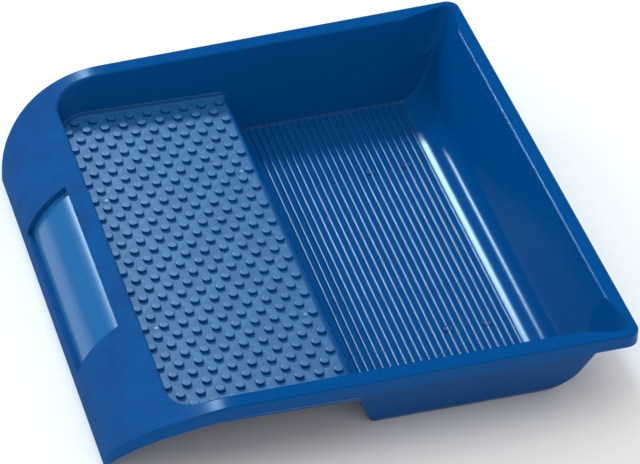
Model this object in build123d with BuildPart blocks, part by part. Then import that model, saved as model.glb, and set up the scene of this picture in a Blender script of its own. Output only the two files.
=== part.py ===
# Paint roller tray: one moulded shell with a deep well, a pimpled roll-off platform and a
# rolled-over grip apron, and a glossy blank panel that clips into a pocket in that apron.
#
# Frame: millimetres, +Z up, the tray stands on Z = 0.  +X points to the pouring end, the grip
# apron is at -X, and the tray is symmetric about the XZ plane.  The origin is the middle of the
# bottom of the bounding box.
import math
import os

from build123d import *

os.makedirs("parts", exist_ok=True)

# ---- Overall size ----------------------------------------------------------------------------
overall_length = 330.0      # apron edge to pouring end, along X
overall_width = 373.0       # across the rim at the pouring end, along Y
tray_height = 60.0          # floor of the room to the rim at the pouring end
wall = 2.0                  # moulded wall thickness everywhere

half_length = overall_length / 2

# ---- Rim and apron, seen from above ------------------------------------------------------------
side_taper = 0.0208         # each long edge leans in by this much per mm towards the apron
pour_corner_radius = 9.0    # outer corners at the pouring end
apron_corner_x = 70.0       # length along X of the elliptical sweep at each apron corner
apron_corner_y = 38.0       # half axis along Y of the same ellipse
apron_corner_turn = 84.0    # the sweep stops this far round, short of the apron's front, degrees

# ---- Rim and apron, seen from the side -------------------------------------------------------
rim_drop = 3.0              # how far the rim falls from the pouring end to the apron
apron_run = 80.0            # length along X of the rolled-over apron
apron_low_turn = 35.0       # its first arc turns this far from the vertical, degrees
apron_high_turn = 65.0      # its second arc ends and its third begins here, degrees
rim_edge_radius = 1.6       # rounded top edge of the outline
lip_height = 9.0            # downturned lip around the whole outline
lip_thickness = 1.8

# ---- Well and platform ---------------------------------------------------------------------------
rim_width = 12.6            # flat rim along the two long sides, at the pouring end
well_taper = 0.0128         # the opening narrows by this much per mm towards the apron
side_draft = 16.9           # lean of the long walls, degrees
pour_rim_width = 10.0       # flat rim across the pouring end
pour_wall_draft = 24.0      # lean of the wall at the pouring end, degrees
pour_wall_radius = 26.0     # sweep of the floor up into that wall
grip_rim_x = 39.0           # apron edge to the opening, along X
grip_wall_draft = 8.0       # lean of the short wall at the apron end, degrees
platform_drop = 28.6        # top of the rim plane to the platform at its apron end
platform_slope = 1.43       # fall of the platform towards the well, degrees
step_x = -6.5               # top edge of the step, along X
step_draft = 20.0           # lean of the step's riser, degrees
step_radius = 4.5           # rounded top edge of the step
foot_radius = 3.5           # small radius at the bottom of the riser
opening_corner_radius = 20.0  # corners of the opening at the apron end
floor_edge_radius = 2.6     # where the floor and platform meet the long walls
opening_edge_radius = 2.0   # rounded edge from the rim down into the opening

# ---- Texture of the roll-off surfaces ------------------------------------------------------
pimple_pitch_x = 12.5
pimple_pitch_y = 19.15
pimple_columns = 9          # per row; every second row is shifted by half a pitch
pimple_rows = 33
pimple_base_diameter = 6.0
pimple_shoulder_diameter = 5.6
pimple_top_diameter = 4.4
pimple_shoulder_height = 1.5
pimple_height = 2.0
pimple_root = 1.2           # buried in the platform, so that the step's round edge is met
pimple_edge_gap = 6.0       # centre of the last column to the step edge
rib_count = 22
rib_pitch = 5.07
rib_width = 2.6
rib_height = 1.2
first_rib_gap = 5.6         # bottom of the riser to the middle of the first rib

# ---- Pouring spouts ------------------------------------------------------------------------
spout_rim = 2.8             # from the nose's sharp corner to the outline
spout_run = 30.0            # how far each spout reaches along the two edges
spout_depth = 26.0
spout_nose_radius = 6.0
spout_overlap = 0.6         # the spout starts this far inside the well's own walls

# ---- Stiffening ribs under the platform -----------------------------------------------------
stiffener_thickness = 1.4
stiffener_depth = 7.0
stiffener_pitch = 57.45     # along Y, between ribs that run the same way
stiffener_angle = 56.9      # to the X axis, degrees
stiffener_reach = 150.0     # they end this far from the middle, along Y

# ---- Pocket and panel in the apron ----------------------------------------------------------
pocket_width = 146.6        # along Y
pocket_top_turn = 58.9      # where the apron faces at the pocket's ends, up from level, degrees
pocket_low_turn = 14.2
pocket_depth = 5.5
panel_thickness = 1.5
panel_clearance = 0.3       # all round between the panel and the pocket
panel_seat_gap = 0.05       # between the panel and the pocket floor
peg_diameter = 4.0
peg_clearance = 0.1
peg_length = 3.4            # from the back of the panel
peg_spacing_y = 110.0
peg_spacing_s = 16.0        # along the pocket's shorter direction

# ---- Derived sizes -----------------------------------------------------------------------------
rim_left_z = tray_height - rim_drop
apron_centre_x = -half_length + apron_run
well_half_width = overall_width / 2 - rim_width
floor_z = wall
pour_x = half_length - pour_rim_width
pour_foot_x = pour_x - math.tan(math.radians(pour_wall_draft)) * (tray_height - floor_z)
margin = 20.0               # how far cutting and trimming solids run past the tray


def rim_half_width(x):
    """Half the outline's width at a given x."""
    return overall_width / 2 - side_taper * (half_length - x)


def platform_z(x):
    """Height of the platform's surface at a given x."""
    fall = math.tan(math.radians(platform_slope)) * (x - platform_left_x)
    return tray_height - platform_drop - fall


grip_opening_x = -half_length + grip_rim_x
platform_left_x = grip_opening_x + math.tan(math.radians(grip_wall_draft)) * platform_drop
riser_foot_x = step_x + math.tan(math.radians(step_draft)) * (platform_z(step_x) - floor_z)


def outline(inset=0.0):
    """Face of the tray's outline seen from above, pulled in by inset."""
    right = half_length - inset
    left = -half_length + inset
    corner_x = -half_length + apron_corner_x
    top = rim_half_width(corner_x) - inset
    sweep_x = (corner_x - left) / math.sin(math.radians(apron_corner_turn))
    sweep_y = apron_corner_y - inset
    sweep_end_y = top - sweep_y * (1 - math.cos(math.radians(apron_corner_turn)))
    with BuildSketch(Plane.XY) as face:
        with BuildLine():
            EllipticalCenterArc(
                (corner_x, top - sweep_y),
                sweep_x,
                sweep_y,
                start_angle=90,
                arc_size=apron_corner_turn,
            )
            Polyline(
                (corner_x, top),
                (right, rim_half_width(half_length) - inset),
                (right, 0),
                (left, 0),
                (left, sweep_end_y),
            )
        make_face()
        nose = face.vertices().group_by(Axis.X)[-1].sort_by(Axis.Y)[-1]
        fillet(nose, radius=pour_corner_radius - inset)
        mirror(about=Plane.XZ)
    return face.sketch


def apron_curve():
    """Centre, radius, first and last turn of the three tangent arcs of the apron, seen from the side."""
    low = math.radians(apron_low_turn)
    high = math.radians(apron_high_turn)
    mid_radius = math.sqrt(apron_run * rim_left_z)
    run = apron_run - mid_radius * (math.cos(low) - math.cos(high))
    rise = rim_left_z - mid_radius * (math.sin(high) - math.sin(low))
    scale = (1 - math.cos(low)) * (1 - math.sin(high)) - math.cos(high) * math.sin(low)
    low_radius = (run * (1 - math.sin(high)) - rise * math.cos(high)) / scale
    high_radius = (rise * (1 - math.cos(low)) - run * math.sin(low)) / scale
    low_centre = (-half_length + low_radius, 0.0)
    step = mid_radius - low_radius
    mid_centre = (low_centre[0] + step * math.cos(low), -step * math.sin(low))
    high_centre = (apron_centre_x, rim_left_z - high_radius)
    return [
        (low_centre, low_radius, 0.0, apron_low_turn),
        (mid_centre, mid_radius, apron_low_turn, apron_high_turn),
        (high_centre, high_radius, apron_high_turn, 90.0),
    ]


def draw_apron(depth, low=0.0, high=90.0, shift=0.0):
    """Draw the apron's curve between two turns, set in by depth and lowered by shift."""
    for centre, radius, first, last in apron_curve():
        start = max(first, low)
        end = min(last, high)
        if end > start:
            CenterArc(
                (centre[0], centre[1] - shift),
                radius - depth,
                start_angle=180 - end,
                arc_size=end - start,
            )


def apron_point(turn, depth=0.0):
    """Point of the apron's curve in the XZ plane, where it faces this far up from level."""
    centre, radius = next((c, r) for c, r, first, last in apron_curve() if turn <= last)
    across = (radius - depth) * math.cos(math.radians(turn))
    up = (radius - depth) * math.sin(math.radians(turn))
    return (centre[0] - across, centre[1] + up)


def apron_turn_step(turn, distance):
    """Degrees of turn that cover a short distance along the apron's curve."""
    radius = next(r for c, r, first, last in apron_curve() if turn <= last)
    return math.degrees(distance / radius)


def side_profile(depth, shift=0.0):
    """Face below the rim and apron seen from the side, pulled in by depth and lowered by shift."""
    rim_past_end = tray_height + rim_drop * margin / (half_length - apron_centre_x)
    with BuildSketch(Plane.XZ) as face:
        with BuildLine():
            draw_apron(depth, shift=shift)
            Polyline(
                (apron_centre_x, rim_left_z - depth - shift),
                (half_length + margin, rim_past_end - depth - shift),
                (half_length + margin, -margin - shift),
                (-half_length + depth, -margin - shift),
                (-half_length + depth, -shift),
            )
        make_face()
    return face.sketch


def well_profile(grow=0.0):
    """Face of the open space seen from the side with sharp corners, grown outwards by grow."""
    pour_tan = math.tan(math.radians(pour_wall_draft))
    grip_tan = math.tan(math.radians(grip_wall_draft))
    high = tray_height + margin
    with BuildSketch(Plane.XZ) as face:
        with BuildLine():
            Polyline(
                (grip_opening_x - grip_tan * margin, high),
                (platform_left_x, platform_z(platform_left_x)),
                (step_x, platform_z(step_x)),
                (riser_foot_x, floor_z),
                (pour_foot_x, floor_z),
                (pour_x + pour_tan * margin, high),
                close=True,
            )
        make_face()
        if grow:
            offset(amount=grow, kind=Kind.INTERSECTION)
    return face.sketch


def side_wall(side, grow=0.0):
    """Plane of the drafted long wall on the +Y (1) or -Y (-1) side, moved outwards by grow."""
    normal = Vector(-well_taper, side, -math.tan(math.radians(side_draft))).normalized()
    top = Vector(half_length, side * well_half_width, tray_height)
    return Plane(origin=top + normal * grow, z_dir=normal)


def well_solid(grow=0.0):
    """The open space of the tray, or with grow its outer skin, with every moulded radius."""
    with BuildPart() as space:
        with BuildSketch(Plane.XZ):
            add(well_profile(grow))
        extrude(amount=overall_width, both=True)
        for side in (-1, 1):
            split(bisect_by=side_wall(side, grow), keep=Keep.BOTTOM)
        for x, z, radius in (
            (pour_foot_x, floor_z, pour_wall_radius + grow),
            (riser_foot_x, floor_z, foot_radius + grow),
            (step_x, platform_z(step_x), step_radius - grow),
        ):
            fillet(space.edges().filter_by(Axis.Y).sort_by_distance((x, 0, z))[0], radius=radius)
        posts = space.edges().filter_by(
            lambda e: e.center().X < platform_left_x and abs(e.tangent_at(0.5).Z) > 0.9
        )
        fillet(posts, radius=opening_corner_radius + grow)
        open_top = space.edges().group_by(Axis.Z)[-1]
        across = space.edges().filter_by(Axis.Y).filter_by(lambda e: e.center().X > platform_left_x + 1)
        posts = space.edges().filter_by(
            lambda e: e.center().X < platform_left_x and abs(e.tangent_at(0.5).Z) > 0.9
        )
        fillet(space.edges() - open_top - across - posts, radius=floor_edge_radius + grow)
    return space.part


def outer_shape(depth=0.0, shift=0.0):
    """Solid under the rim and apron surface, within the tray's outline."""
    with BuildPart() as block:
        with BuildSketch(Plane.XY):
            add(outline())
        extrude(amount=tray_height + margin)
        with BuildSketch(Plane.XZ):
            add(side_profile(depth, shift))
        extrude(amount=overall_width, both=True, mode=Mode.INTERSECT)
    return block.part


def rounded_shape():
    """The same solid with a rounded top edge, and the open space and the spouts taken out."""
    with BuildPart() as block:
        add(outer_shape())
        seams = block.edges().filter_by(Axis.Y).filter_by(lambda e: e.center().X < apron_centre_x + 1)
        upright = block.edges().filter_by(Axis.Z)
        base = block.edges().group_by(Axis.Z)[0]
        fillet(block.edges() - seams - upright - base, radius=rim_edge_radius)
        add(well, mode=Mode.SUBTRACT)
        fillet(block.edges(Select.NEW), radius=opening_edge_radius)
        add(spout, mode=Mode.SUBTRACT)
        add(mirror(spout, about=Plane.XZ, mode=Mode.PRIVATE), mode=Mode.SUBTRACT)
    return block.part


def spout_outline(height, nose_x, nose_y, grow=0.0):
    """Outline of the spout at the +Y pouring corner, at a given height."""
    sink = tray_height - height
    side_y = well_half_width - math.tan(math.radians(side_draft)) * sink - spout_overlap
    end_x = half_length - pour_rim_width - math.tan(math.radians(pour_wall_draft)) * sink - spout_overlap
    with BuildSketch(Plane.XY.offset(height)) as face:
        with BuildLine():
            Polyline(
                (end_x - spout_run, side_y + grow),
                (nose_x + grow, nose_y + grow),
                (end_x + grow, side_y - spout_run),
                (end_x - spout_run, side_y - spout_run),
                close=True,
            )
        make_face()
        nose = face.vertices().sort_by_distance((nose_x + grow, nose_y + grow, 0))[0]
        fillet(nose, radius=spout_nose_radius + grow)
    return face.sketch


def spout_solid(grow=0.0):
    """The flared pouring notch at the +Y corner, or with grow its outer skin."""
    low = tray_height - spout_depth
    low_x = half_length - pour_rim_width - math.tan(math.radians(pour_wall_draft)) * spout_depth
    low_y = well_half_width - math.tan(math.radians(side_draft)) * spout_depth
    top_x = half_length - spout_rim
    top_y = rim_half_width(half_length) - spout_rim
    with BuildPart() as notch:
        add(spout_outline(low, low_x, low_y, grow))
        add(spout_outline(tray_height + 0.5, top_x, top_y, grow))
        loft(ruled=True)
    return notch.part


def apron_band(depth_out, depth_in, low, high):
    """Curved strip of the apron seen from the side, between two depths and two turns."""
    with BuildSketch(Plane.XZ) as face:
        with BuildLine():
            draw_apron(depth_out, low, high)
            Line(apron_point(low, depth_out), apron_point(low, depth_in))
            draw_apron(depth_in, low, high)
            Line(apron_point(high, depth_in), apron_point(high, depth_out))
        make_face()
    return face.sketch


def peg_planes():
    """Planes at the pegs' roots; the pegs are parallel, square to the middle of the pocket."""
    turn = (pocket_low_turn + pocket_top_turn) / 2
    outward = Vector(-math.cos(math.radians(turn)), 0, math.sin(math.radians(turn)))
    along = Vector(outward.Z, 0, -outward.X)
    middle = apron_point(turn, pocket_depth - panel_thickness / 2)
    planes = []
    for across in (-1, 1):
        for up in (-1, 1):
            root = (
                Vector(middle[0], across * peg_spacing_y / 2, middle[1])
                + along * (up * peg_spacing_s / 2)
            )
            planes.append(Plane(origin=root, x_dir=(0, 1, 0), z_dir=-outward))
    return planes


def pimple_places():
    """Centres of the pimples on the platform, as a centred rectangular pattern."""
    places = []
    last_x = step_x - pimple_edge_gap
    for row in range(pimple_rows):
        step = row - (pimple_rows - 1) // 2
        shift = pimple_pitch_x / 2 if step % 2 else 0.0
        for column in range(pimple_columns):
            x = last_x - shift - column * pimple_pitch_x
            places.append((x, step * pimple_pitch_y / 2, platform_z(x) - pimple_root))
    return places


# ---- Tray shell ----------------------------------------------------------------------------------
# One moulding.  The thin skin of rim and apron, the downturned lip and the skin of the well are
# left standing when the hollow under the skin is taken out of the rounded outer shape.
well = well_solid()
spout = spout_solid()
spout_skin = spout_solid(wall)
skin_block = outer_shape()
rounded_block = rounded_shape()

with BuildPart() as lip_ring:
    with BuildSketch(Plane.XY):
        add(outline())
        add(outline(lip_thickness), mode=Mode.SUBTRACT)
    extrude(amount=tray_height + margin)
    add(skin_block, mode=Mode.INTERSECT)
    add(outer_shape(shift=lip_height), mode=Mode.SUBTRACT)

with BuildPart() as outer_well:
    add(well_solid(wall))
    add(spout_skin)
    add(mirror(spout_skin, about=Plane.XZ, mode=Mode.PRIVATE))
    add(skin_block, mode=Mode.INTERSECT)

with BuildPart() as pocket_pan:
    with BuildSketch(Plane.XZ):
        add(
            apron_band(
                0.5,
                pocket_depth + wall,
                pocket_low_turn - apron_turn_step(pocket_low_turn, wall),
                pocket_top_turn + apron_turn_step(pocket_top_turn, wall),
            )
        )
    extrude(amount=pocket_width / 2 + wall, both=True)

with BuildPart() as pocket_space:
    with BuildSketch(Plane.XZ):
        add(apron_band(-margin / 2, pocket_depth, pocket_low_turn, pocket_top_turn))
    extrude(amount=pocket_width / 2, both=True)

with BuildPart() as rib_bars:
    with BuildSketch(Plane.XZ):
        for index in range(rib_count):
            rib_x = riser_foot_x + first_rib_gap + index * rib_pitch
            with Locations((rib_x, floor_z)):
                Ellipse(rib_width / 2, rib_height)
    extrude(amount=overall_width, both=True)
    add(well_solid(wall / 2), mode=Mode.INTERSECT)

with BuildPart() as stiffeners:
    # Two crossing families of thin ribs hang under the platform, inside its side walls.
    count = math.ceil(overall_width / stiffener_pitch)
    grid_middle_x = (platform_left_x + step_x) / 2
    for index in range(-count, count + 1):
        for turn in (-1, 1):
            place = (grid_middle_x, (index + 0.5) * stiffener_pitch, tray_height / 2)
            with Locations(Location(place, (0, 0, turn * stiffener_angle))):
                Box(overall_width, stiffener_thickness, tray_height)
    with BuildSketch(Plane.XZ):
        with BuildLine():
            near_x = platform_left_x + wall
            far_x = step_x - wall
            Polyline(
                (near_x, platform_z(near_x) - wall / 2),
                (far_x, platform_z(far_x) - wall / 2),
                (far_x, platform_z(far_x) - wall - stiffener_depth),
                (near_x, platform_z(near_x) - wall - stiffener_depth),
                close=True,
            )
        make_face()
    extrude(amount=stiffener_reach, both=True, mode=Mode.INTERSECT)

with BuildPart() as pimple:
    with BuildSketch(Plane.XZ):
        with BuildLine():
            Polyline(
                (0, 0),
                (pimple_base_diameter / 2, 0),
                (pimple_base_diameter / 2, pimple_root),
                (pimple_shoulder_diameter / 2, pimple_root + pimple_shoulder_height),
                (pimple_top_diameter / 2, pimple_root + pimple_height),
                (0, pimple_root + pimple_height),
                close=True,
            )
        make_face()
    revolve(axis=Axis.Z)

with BuildPart() as hollow:
    # All that is empty under the skin: what the lip, the well, the pan and the ribs leave over.
    add(outer_shape(depth=wall))
    add(lip_ring.part, mode=Mode.SUBTRACT)
    add(outer_well.part, mode=Mode.SUBTRACT)
    add(pocket_pan.part, mode=Mode.SUBTRACT)
    add(stiffeners.part, mode=Mode.SUBTRACT)

with BuildPart() as tray_shell:
    add(rounded_block)
    add(hollow.part, mode=Mode.SUBTRACT)
    add(pocket_space.part, mode=Mode.SUBTRACT)
    add(rib_bars.part)
    with Locations(pimple_places()):
        add(pimple.part)
    with Locations(peg_planes()):
        Cylinder(
            radius=peg_diameter / 2 + peg_clearance,
            height=peg_length + wall,
            align=(Align.CENTER, Align.CENTER, Align.MIN),
            mode=Mode.SUBTRACT,
        )

tray_shell.part.label = "tray_shell"
export_step(tray_shell.part, "parts/tray_shell.step")
print("tray_shell", len(tray_shell.part.solids()), tray_shell.part.volume)

# ---- Panel ---------------------------------------------------------------------------------------
# A blank glossy plate that follows the apron's curve, with four parallel pegs behind it.
panel_back_depth = pocket_depth - panel_seat_gap
with BuildPart() as grip_panel:
    with BuildSketch(Plane.XZ):
        add(
            apron_band(
                panel_back_depth - panel_thickness,
                panel_back_depth,
                pocket_low_turn + apron_turn_step(pocket_low_turn, panel_clearance),
                pocket_top_turn - apron_turn_step(pocket_top_turn, panel_clearance),
            )
        )
    extrude(amount=pocket_width / 2 - panel_clearance, both=True)
    with Locations(peg_planes()):
        Cylinder(
            radius=peg_diameter / 2,
            height=peg_length + panel_thickness / 2,
            align=(Align.CENTER, Align.CENTER, Align.MIN),
        )

grip_panel.part.label = "grip_panel"
export_step(grip_panel.part, "parts/grip_panel.step")
print("grip_panel", len(grip_panel.part.solids()), grip_panel.part.volume)
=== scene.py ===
# %% [markdown]
# # Paint roller tray
# The tray is one moulded shell of blue polypropylene, with a separate glossy panel clipped into
# the apron that a hand holds.
# The imported CAD model is the fixed frame: every node already stands at its real place and size,
# in metres, with +X towards the pouring end and the floor at z = 0.

# %% Load the frame
import math

import bpy
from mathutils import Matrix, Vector


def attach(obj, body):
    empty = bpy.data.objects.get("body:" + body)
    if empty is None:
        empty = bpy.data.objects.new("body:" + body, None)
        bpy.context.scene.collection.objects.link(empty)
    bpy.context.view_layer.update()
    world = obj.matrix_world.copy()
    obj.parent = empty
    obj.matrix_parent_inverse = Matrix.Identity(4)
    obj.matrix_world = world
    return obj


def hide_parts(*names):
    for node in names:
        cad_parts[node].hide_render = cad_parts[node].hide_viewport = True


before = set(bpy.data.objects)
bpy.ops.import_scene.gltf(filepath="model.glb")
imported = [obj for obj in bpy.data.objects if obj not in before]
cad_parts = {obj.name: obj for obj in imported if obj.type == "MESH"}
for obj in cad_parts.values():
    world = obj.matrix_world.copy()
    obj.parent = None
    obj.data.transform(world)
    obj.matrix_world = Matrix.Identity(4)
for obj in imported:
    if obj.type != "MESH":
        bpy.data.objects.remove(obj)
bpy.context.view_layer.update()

# %% [markdown]
# The camera comes first. It stands off the grip side and looks down along the tray with a long
# lens, as a catalogue camera does, so that parallel edges stay nearly parallel.
# A lens of almost 200 mm needs a far camera, and both numbers belong together.
# The small roll is set about the camera's own axis after it has been aimed.

# %% Camera
def aim(thing, target, roll=0.0):
    """Turn a camera or a lamp so that it looks at the target."""
    direction = Vector(target) - thing.location
    thing.rotation_euler = direction.to_track_quat("-Z", "Y").to_euler()
    if roll:
        thing.rotation_euler.rotate_axis("Z", roll)


CAMERA_PLACE = (-0.48336, -1.69911, 1.43085)
CAMERA_TARGET = (0.01345, -0.00274, 0.03146)
CAMERA_LENS = 196.9
CAMERA_ROLL = math.radians(0.353)

bpy.ops.object.camera_add(location=CAMERA_PLACE)
camera = bpy.context.object
camera.name = "catalogue_camera"
camera.data.lens = CAMERA_LENS
camera.data.sensor_width = 36.0
aim(camera, CAMERA_TARGET, CAMERA_ROLL)
bpy.context.scene.camera = camera
print("camera at", tuple(round(v, 3) for v in camera.location))

# %% [markdown]
# Shader maths reads best as arithmetic. The class below wraps one output socket, and an
# expression on wraps adds the Math nodes that it needs.
# Every other node comes from one method of the finish, which takes the node's type, its settings
# and the values or links of its sockets.

# %% A wrapped socket and a finish
class Wire:
    """One output socket, ready for plain arithmetic."""

    def __init__(self, finish, socket):
        self.finish = finish
        self.socket = socket

    def __add__(self, other):
        return self.finish.math("ADD", self, other)

    def __radd__(self, other):
        return self.finish.math("ADD", other, self)

    def __sub__(self, other):
        return self.finish.math("SUBTRACT", self, other)

    def __rsub__(self, other):
        return self.finish.math("SUBTRACT", other, self)

    def __mul__(self, other):
        return self.finish.math("MULTIPLY", self, other)

    def __rmul__(self, other):
        return self.finish.math("MULTIPLY", other, self)

    def __truediv__(self, other):
        return self.finish.math("DIVIDE", self, other)

    def __rtruediv__(self, other):
        return self.finish.math("DIVIDE", other, self)

    def __abs__(self):
        return self.finish.math("ABSOLUTE", self)


class Finish:
    """A material and the one way in which nodes are added to it."""

    def __init__(self, name):
        self.material = bpy.data.materials.new(name)
        self.material.use_nodes = True
        self.tree = self.material.node_tree
        self.shader = self.tree.nodes["Principled BSDF"]

    def node(self, kind, settings=None, sockets=None, out=0):
        """Add a node, set it up, link or fill its sockets and wrap one of its outputs."""
        made = self.tree.nodes.new(kind)
        for key, value in (settings or {}).items():
            setattr(made, key, value)
        for key, value in (sockets or {}).items():
            if isinstance(value, Wire):
                self.tree.links.new(value.socket, made.inputs[key])
            else:
                made.inputs[key].default_value = value
        return Wire(self, made.outputs[out])

    def math(self, operation, first, second=0.0):
        return self.node("ShaderNodeMath", {"operation": operation}, {0: first, 1: second})

    def step(self, value, low, high):
        """0 below low, 1 above high and a soft edge between them."""
        return self.node(
            "ShaderNodeMapRange",
            {"interpolation_type": "SMOOTHSTEP"},
            {"Value": value, "From Min": low, "From Max": high},
        )

    def blend(self, factor, first, second):
        """Mix two colours. A Mix node takes them at inputs 6 and 7 and gives them at output 2."""
        colours = {"Factor": factor, 6: first, 7: second}
        return self.node("ShaderNodeMix", {"data_type": "RGBA"}, colours, out=2)

    def noise(self, place, scale, detail=2.0, roughness=0.5):
        return self.node(
            "ShaderNodeTexNoise",
            None,
            {"Vector": place, "Scale": scale, "Detail": detail, "Roughness": roughness},
        )

    def feed(self, socket, value):
        """Link a wire to the shader's socket, or set a constant on it."""
        if isinstance(value, Wire):
            self.tree.links.new(value.socket, self.shader.inputs[socket])
        else:
            self.shader.inputs[socket].default_value = value

    def dress(self, thing):
        """Give an object this material alone."""
        thing.data.materials.clear()
        thing.data.materials.append(self.material)


print("shader tools ready")

# %% [markdown]
# The tray stands on a sheet of white paper that is far larger than the view.
# The paper is matt, with a faint tooth, so that it takes only a soft shadow and no reflection.

# %% Paper floor
PAPER_SIZE = 9.0
PAPER_DROP = 0.0002         # keeps the paper clear of the tray's foot

bpy.ops.object.select_all(action="DESELECT")
bpy.ops.mesh.primitive_plane_add(size=PAPER_SIZE, location=(0, 0, -PAPER_DROP))
floor = bpy.context.object
floor.name = "studio_floor"
paper = Finish("studio_paper")
spot = paper.node("ShaderNodeTexCoord", out="Object")
tooth = paper.noise(spot, 900.0, 3.0)
paper.feed("Base Color", paper.blend(tooth, (0.90, 0.90, 0.90, 1), (0.93, 0.93, 0.93, 1)))
paper.feed("Roughness", 0.9)
paper.feed("Specular IOR Level", 0.1)
floor.data.materials.append(paper.material)
print("floor", tuple(floor.dimensions))

# %% [markdown]
# Soft boxes light the tray, and their places come from the sheen that the real plastic shows.
# The key stands beyond the far long side at 41 degrees of height, so the far wall throws a clear
# shadow, and the foot of the end wall mirrors it as a broad band. A second, lower and brighter
# box further round makes the thin band above that one, the fine line on every rib and the bright
# upper edge of the panel. A flat floor mirrors neither, so it stays deep blue.
# A wide box overhead and an even, slightly warm air fill the walls. Both are kept out of every
# reflection, which a real studio can't do: it keeps the polished blue free of grey sheen.

# %% Lamps
LAMP_TARGET = (0.02, 0.0, 0.03)


def soft_box(name, heading, distance, size, power, tint, mirrored=True):
    """Add one rectangular lamp that stands in a direction from the tray and looks at it."""
    stand = Vector(LAMP_TARGET) + Vector(heading).normalized() * distance
    bpy.ops.object.light_add(type="AREA", location=stand)
    lamp = bpy.context.object
    lamp.name = name
    lamp.data.shape = "RECTANGLE"
    lamp.data.size, lamp.data.size_y = size
    lamp.data.energy = power
    lamp.data.color = tint
    lamp.visible_glossy = mirrored
    aim(lamp, LAMP_TARGET)
    print(name, tuple(round(v, 2) for v in stand), power, "W")


soft_box("key_box", (-0.067, 0.752, 0.655), 4.2, (0.50, 0.56), 72, (0.50, 0.80, 1.0))
soft_box("edge_box", (-0.499, 0.752, 0.43), 4.2, (0.20, 0.34), 30, (0.55, 0.84, 1.0))
soft_box("top_box", (-0.1, -0.3, 2.6), 4.6, (4.2, 4.2), 48, (1.0, 0.98, 0.96), False)

AIR_STRENGTH = 0.80
world = bpy.data.worlds.new("studio_air")
bpy.context.scene.world = world
world.use_nodes = True
air = world.node_tree.nodes["Background"]
air.inputs["Color"].default_value = (1.0, 0.975, 0.955, 1)
air.inputs["Strength"].default_value = AIR_STRENGTH
world.cycles_visibility.glossy = False
bpy.context.scene.view_settings.view_transform = "Standard"
print("air", AIR_STRENGTH)

# %% [markdown]
# The shell is one blue plastic with three finishes, cut into the mould in different ways.
# The well and the rim are polished, the roll-off platform is finely spark-eroded, so that it
# scatters the key's light, and the apron has a matt, cloudy grain for the hand.
# Masks on the object's own coordinates tell the places apart, so that one material serves the
# whole moulding, as one melt does.

# %% Where each finish is
plastic = Finish("tray_plastic_blue")
place = plastic.node("ShaderNodeTexCoord", out="Object")
along = plastic.node("ShaderNodeSeparateXYZ", None, {0: place})
across, up = (Wire(plastic, socket) for socket in along.socket.node.outputs[1:])

PLATFORM_START_X = -0.12198
PLATFORM_START_Z = 0.0314
PLATFORM_FALL = 0.02496
STEP_X = -0.0065

# Each pair is where a mask starts and ends its soft edge.
UNDER_SURFACE = (-0.0012, -0.0004)
OVER_PIMPLES = (0.0022, 0.0034)
APRON_END = (-0.127, -0.095)
RIB_FOOT = (0.0023, 0.0030)
RIB_TOP = (0.0034, 0.0042)
RIBS_START = (0.006, 0.010)
RIBS_END = (0.117, 0.121)


def platform_height(x):
    """Height of the platform's surface, for a number or a wire."""
    return PLATFORM_START_Z - PLATFORM_FALL * (x - PLATFORM_START_X)


over_platform = up - platform_height(along)
on_platform = (
    plastic.step(over_platform, *UNDER_SURFACE)
    * (1 - plastic.step(over_platform, *OVER_PIMPLES))
    * plastic.step(along, PLATFORM_START_X - 0.002, PLATFORM_START_X + 0.001)
    * (1 - plastic.step(along, STEP_X - 0.004, STEP_X + 0.001))
)
on_apron = 1 - plastic.step(along, *APRON_END)
on_ribs = (
    plastic.step(up, *RIB_FOOT)
    * (1 - plastic.step(up, *RIB_TOP))
    * plastic.step(along, *RIBS_START)
    * (1 - plastic.step(along, *RIBS_END))
)
print("finish masks made")

# %% [markdown]
# Thin ribs cross under the platform, and the plastic shrinks where they meet it. From above this
# shows as a faint lattice of slightly sunk diagonals, which are also painted paler: a painted
# highlight of the light that the shallow dips catch.
# The distance to the nearest diagonal comes from the fraction of a skewed coordinate.

# %% Sink lattice on the platform
RIB_PITCH = 0.05745
RIB_SLOPE = 1.534
GRID_X = -0.06424
SINK_EDGE = (0.0002, 0.0026)


def sink_line(turn):
    """1 on the diagonals of one direction, 0 away from them."""
    skew = (across - turn * RIB_SLOPE * (along - GRID_X)) / RIB_PITCH
    gap = abs(plastic.math("FRACT", skew) - 0.5) * (RIB_PITCH / math.hypot(1.0, RIB_SLOPE))
    return 1 - plastic.step(gap, *SINK_EDGE)


lattice = plastic.math("MAXIMUM", sink_line(1), sink_line(-1)) * on_platform
print("lattice pitch", RIB_PITCH)

# %% [markdown]
# Four noises give the plastic its life: a broad patch, the apron's cloud, fine scuffs and the
# grain of the mould; the scuffs also make the painted sheen patchy. The open platform is paler
# than the rest: a painted sheen that stands in for the key's light, which its dull skin scatters.
# The sides of the pimples keep the deep colour of the melt, so against them the pimples' tops are
# painted lit.
# A rough coat stands in for that scatter, and for the worn tops of the ribs.

# %% Grain, cloud and colour
cloud = plastic.noise(place, 42.0, 5.0, 0.62)
patch = plastic.noise(place, 11.0, 3.0, 0.5)
grain = plastic.noise(place, 1700.0, 2.0, 0.6)
# This noise makes the roughness, the coat and the painted sheen patchy.
scuff_and_sheen = plastic.noise(place, 260.0, 4.0, 0.7)

DEEP_BLUE = (0.0, 0.058, 0.220, 1)
FRESH_BLUE = (0.0, 0.081, 0.290, 1)
# Painted sheen: the paler blue that the open platform is painted with, in place of the key's
# scattered light.
PAINTED_SHEEN_BLUE = (0.008, 0.138, 0.380, 1)
PIMPLE_FOOT = (0.0001, 0.0005)
PIMPLE_CROWN = (0.0018, 0.00205)
GRAIN_DEPTH = 0.00012

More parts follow.
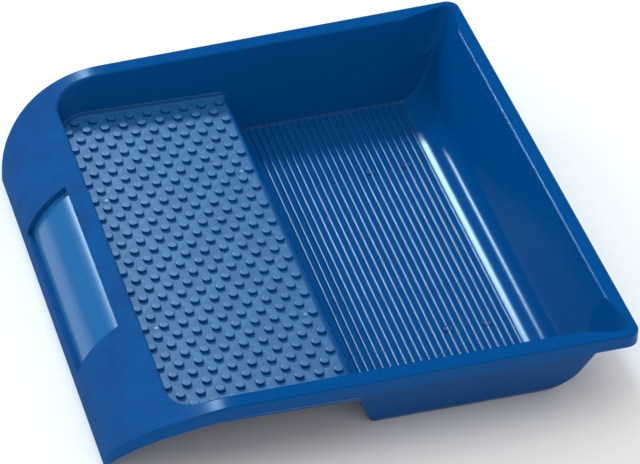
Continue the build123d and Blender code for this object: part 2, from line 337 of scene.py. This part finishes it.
tone = 0.25 + 0.25 * patch + on_apron * (cloud - 0.45) * 2.6
colour = plastic.blend(tone, DEEP_BLUE, FRESH_BLUE)
# The pimples' sides stay out of the painted sheen, so only their tops are painted lighter.
pimple_side = plastic.step(over_platform, *PIMPLE_FOOT) * (
    1 - plastic.step(over_platform, *PIMPLE_CROWN)
)
open_platform = on_platform * (1 - pimple_side)
# Painted sheen on the open platform, patchy with the scuffs and brighter on the sink lines.
painted_sheen = open_platform * (0.45 + 0.25 * scuff_and_sheen + 0.30 * lattice)
colour = plastic.blend(painted_sheen, colour, PAINTED_SHEEN_BLUE)
plastic.feed("Base Color", colour)

roughness = (
    0.15
    + 0.03 * patch
    + on_platform * (0.25 + 0.06 * scuff_and_sheen + 0.05 * lattice)
    + on_apron * (0.52 + 0.20 * cloud)
)
plastic.feed("Roughness", roughness)
plastic.feed("Specular IOR Level", 0.12)
plastic.feed(
    "Coat Weight", open_platform * (0.66 + 0.34 * scuff_and_sheen + 0.15 * lattice) + on_ribs * 0.62
)
plastic.feed("Coat Roughness", 0.37)
plastic.feed("Coat IOR", 2.0)

grained = 0.03 + 0.97 * plastic.math("MAXIMUM", on_platform, on_apron)
skin_height = grain * grained - lattice * 2.2
skin = plastic.node(
    "ShaderNodeBump",
    None,
    {"Strength": 0.35, "Distance": GRAIN_DEPTH, "Height": skin_height},
)
plastic.feed("Normal", skin)
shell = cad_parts["tray_shell"]
plastic.dress(shell)
print("shell gets", plastic.material.name)

# %% [markdown]
# The panel is a separate, smoother moulding in a paler blue. A modest roughness blurs the edge
# box into a soft band along its upper edge, and the paper lights its lower half.

# %% Panel gloss
gloss = Finish("panel_gloss_blue")
panel_place = gloss.node("ShaderNodeTexCoord", out="Object")
streak = gloss.noise(
    gloss.node("ShaderNodeMapping", None, {"Vector": panel_place, "Scale": (1.0, 0.04, 1.0)}),
    160.0,
    2.0,
)
gloss.feed("Base Color", gloss.blend(streak, (0.010, 0.118, 0.325, 1), (0.016, 0.150, 0.390, 1)))
gloss.feed("Roughness", 0.17 + 0.09 * streak)
gloss.feed("Specular IOR Level", 0.42)
print("panel gloss finished")

# %% [markdown]
# A clipped-in panel has eased edges that catch a fine line of light, which the plain solid lacks.
# A copy of the solid is merged, its flat triangles are dissolved into whole faces, and every
# sharp edge gets a narrow rounded bevel. It takes plastic away along the outer edges, and fills
# the inner corner a little where each peg meets the back.

# %% Eased panel
SAME_POINT = 1e-6
EASED_WIDTH = 0.00035

bpy.ops.object.select_all(action="DESELECT")
panel_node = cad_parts["grip_panel"]
panel = panel_node.copy()
panel.data = panel_node.data.copy()
panel.name = "eased_panel"
bpy.context.collection.objects.link(panel)
panel.select_set(True)
bpy.context.view_layer.objects.active = panel
bpy.ops.object.mode_set(mode="EDIT")
bpy.ops.mesh.select_all(action="SELECT")
bpy.ops.mesh.remove_doubles(threshold=SAME_POINT)
bpy.ops.mesh.dissolve_limited(angle_limit=math.radians(0.5))
bpy.ops.object.mode_set(mode="OBJECT")
bpy.ops.object.shade_smooth_by_angle(angle=math.radians(35))
ease = panel.modifiers.new("ease", "BEVEL")
ease.width = EASED_WIDTH
ease.segments = 3
ease.limit_method = "ANGLE"
ease.angle_limit = math.radians(50)
ease.harden_normals = True
bpy.ops.object.modifier_apply(modifier=ease.name)
gloss.dress(panel)
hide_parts("grip_panel")
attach(panel, "root")
print("panel faces", len(panel.data.polygons))

# %% [markdown]
# Two hundred and ninety-seven short pimples hold the roller back on the platform.
# One is modelled from a short cylinder: its lower face goes, its top is drawn in a little and
# the top edge is rounded with a bevel. Copies stand on the same shifted rows as in the mould,
# and they are joined into one piece, which covers the plain cones of the shell.

# %% One pimple
PIMPLE_RADIUS = 0.0031
PIMPLE_RISE = 0.0021
PIMPLE_ROOT = 0.0004


def pick(mesh_object, test):
    """Select only the vertices that pass the test, and the edges and faces between them."""
    bpy.ops.object.mode_set(mode="OBJECT")
    mesh = mesh_object.data
    for vertex in mesh.vertices:
        vertex.select = test(vertex.co)
    for edge in mesh.edges:
        edge.select = all(mesh.vertices[i].select for i in edge.vertices)
    for face in mesh.polygons:
        face.select = all(mesh.vertices[i].select for i in face.vertices)
    bpy.ops.object.mode_set(mode="EDIT")


def joined(pieces, name):
    """Join the pieces into one object of that name, which stands unturned at the origin."""
    bpy.ops.object.select_all(action="DESELECT")
    for piece in pieces:
        piece.select_set(True)
    bpy.context.view_layer.objects.active = pieces[0]
    bpy.ops.object.join()
    whole = bpy.context.object
    whole.name = name
    bpy.ops.object.transform_apply(location=True, rotation=True, scale=True)
    return whole


bpy.ops.object.select_all(action="DESELECT")
pimple_depth = PIMPLE_RISE + PIMPLE_ROOT
bpy.ops.mesh.primitive_cylinder_add(
    vertices=18, radius=PIMPLE_RADIUS, depth=pimple_depth, location=(0, 0, 0)
)
pimple = bpy.context.object
bpy.ops.object.mode_set(mode="EDIT")
bpy.ops.mesh.select_mode(type="VERT")
pick(pimple, lambda co: co.z < 0)
bpy.ops.mesh.delete(type="ONLY_FACE")
pick(pimple, lambda co: co.z > 0)
bpy.ops.transform.resize(value=(0.955, 0.955, 1.0))
bpy.ops.mesh.bevel(offset=0.00042, segments=3, affect="EDGES")
pick(pimple, lambda co: co.z > pimple_depth / 2 - SAME_POINT)
bpy.ops.mesh.inset(thickness=0.00035)
bpy.ops.object.mode_set(mode="OBJECT")
bpy.ops.object.shade_smooth_by_angle(angle=math.radians(50))
print("one pimple has", len(pimple.data.polygons), "faces")

# %% The whole field
ROWS_EACH_SIDE = 16
PIMPLES_IN_ROW = 9
PITCH_X = 0.0125
PITCH_Y = 0.01915           # from one row to the next but one
STEP_GAP = 0.006

field = []
for row in range(-ROWS_EACH_SIDE, ROWS_EACH_SIDE + 1):
    shift = PITCH_X / 2 if row % 2 else 0.0
    for column in range(PIMPLES_IN_ROW):
        x = STEP_X - STEP_GAP - shift - column * PITCH_X
        z = platform_height(x) + (PIMPLE_RISE - PIMPLE_ROOT) / 2
        copy = pimple.copy()
        copy.data = pimple.data.copy()
        copy.location = (x, row * PITCH_Y / 2, z)
        bpy.context.collection.objects.link(copy)
        field.append(copy)
bpy.data.objects.remove(pimple)
pimples = joined(field, "platform_pimples")
plastic.dress(pimples)
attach(pimples, "root")
print("pimples", len(field), "faces", len(pimples.data.polygons))

# %% [markdown]
# The mould's ejector pins leave small round marks: four between the pimples, and four on the ribs
# of the well. Each is a low disc with a raised ring, drawn from a cylinder by insetting its top
# and sinking the middle, more deeply on the ribs than on the platform.

# %% Ejector marks
PLATFORM_MARKS = ((-0.1125, 0.0670), (-0.01875, 0.0766))
PLATFORM_MARK_RISE = 0.00022
PLATFORM_MARK_RADIUS = 0.0026
PLATFORM_MARK_SINK = 0.00006
RIB_MARKS = ((0.0742, 0.0850), (0.0998, 0.0860))
RIB_MARK_TOP = 0.002 + 0.00128       # the well's floor, and the rise over it
RIB_MARK_RADIUS = 0.0027
RIB_MARK_SINK = 0.00045
MARK_DEPTH = 0.0024
TOP_BAND = 0.001            # what lies less than this under the top belongs to the top

marks = []
for side in (-1, 1):
    for x, y in PLATFORM_MARKS:
        top = platform_height(x) + PLATFORM_MARK_RISE
        marks.append((x, side * y, top, PLATFORM_MARK_RADIUS, PLATFORM_MARK_SINK))
    for x, y in RIB_MARKS:
        marks.append((x, side * y, RIB_MARK_TOP, RIB_MARK_RADIUS, RIB_MARK_SINK))
discs = []
for x, y, top, radius, sink in marks:
    bpy.ops.object.select_all(action="DESELECT")
    bpy.ops.mesh.primitive_cylinder_add(
        vertices=28, radius=radius, depth=MARK_DEPTH, location=(x, y, top - MARK_DEPTH / 2)
    )
    disc = bpy.context.object
    bpy.ops.object.transform_apply(location=True, rotation=True, scale=True)
    bpy.ops.object.mode_set(mode="EDIT")
    bpy.ops.mesh.select_mode(type="VERT")
    pick(disc, lambda co: co.z < top - TOP_BAND)
    bpy.ops.mesh.delete(type="ONLY_FACE")
    pick(disc, lambda co: co.z > top - TOP_BAND)
    bpy.ops.mesh.inset(thickness=0.0005)
    bpy.ops.mesh.inset(thickness=0.0002, depth=-sink)
    bpy.ops.object.mode_set(mode="OBJECT")
    bpy.ops.object.shade_smooth_by_angle(angle=math.radians(35))
    discs.append(disc)
ejector_marks = joined(discs, "ejector_marks")
plastic.dress(ejector_marks)
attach(ejector_marks, "root")
print("ejector marks", len(marks))
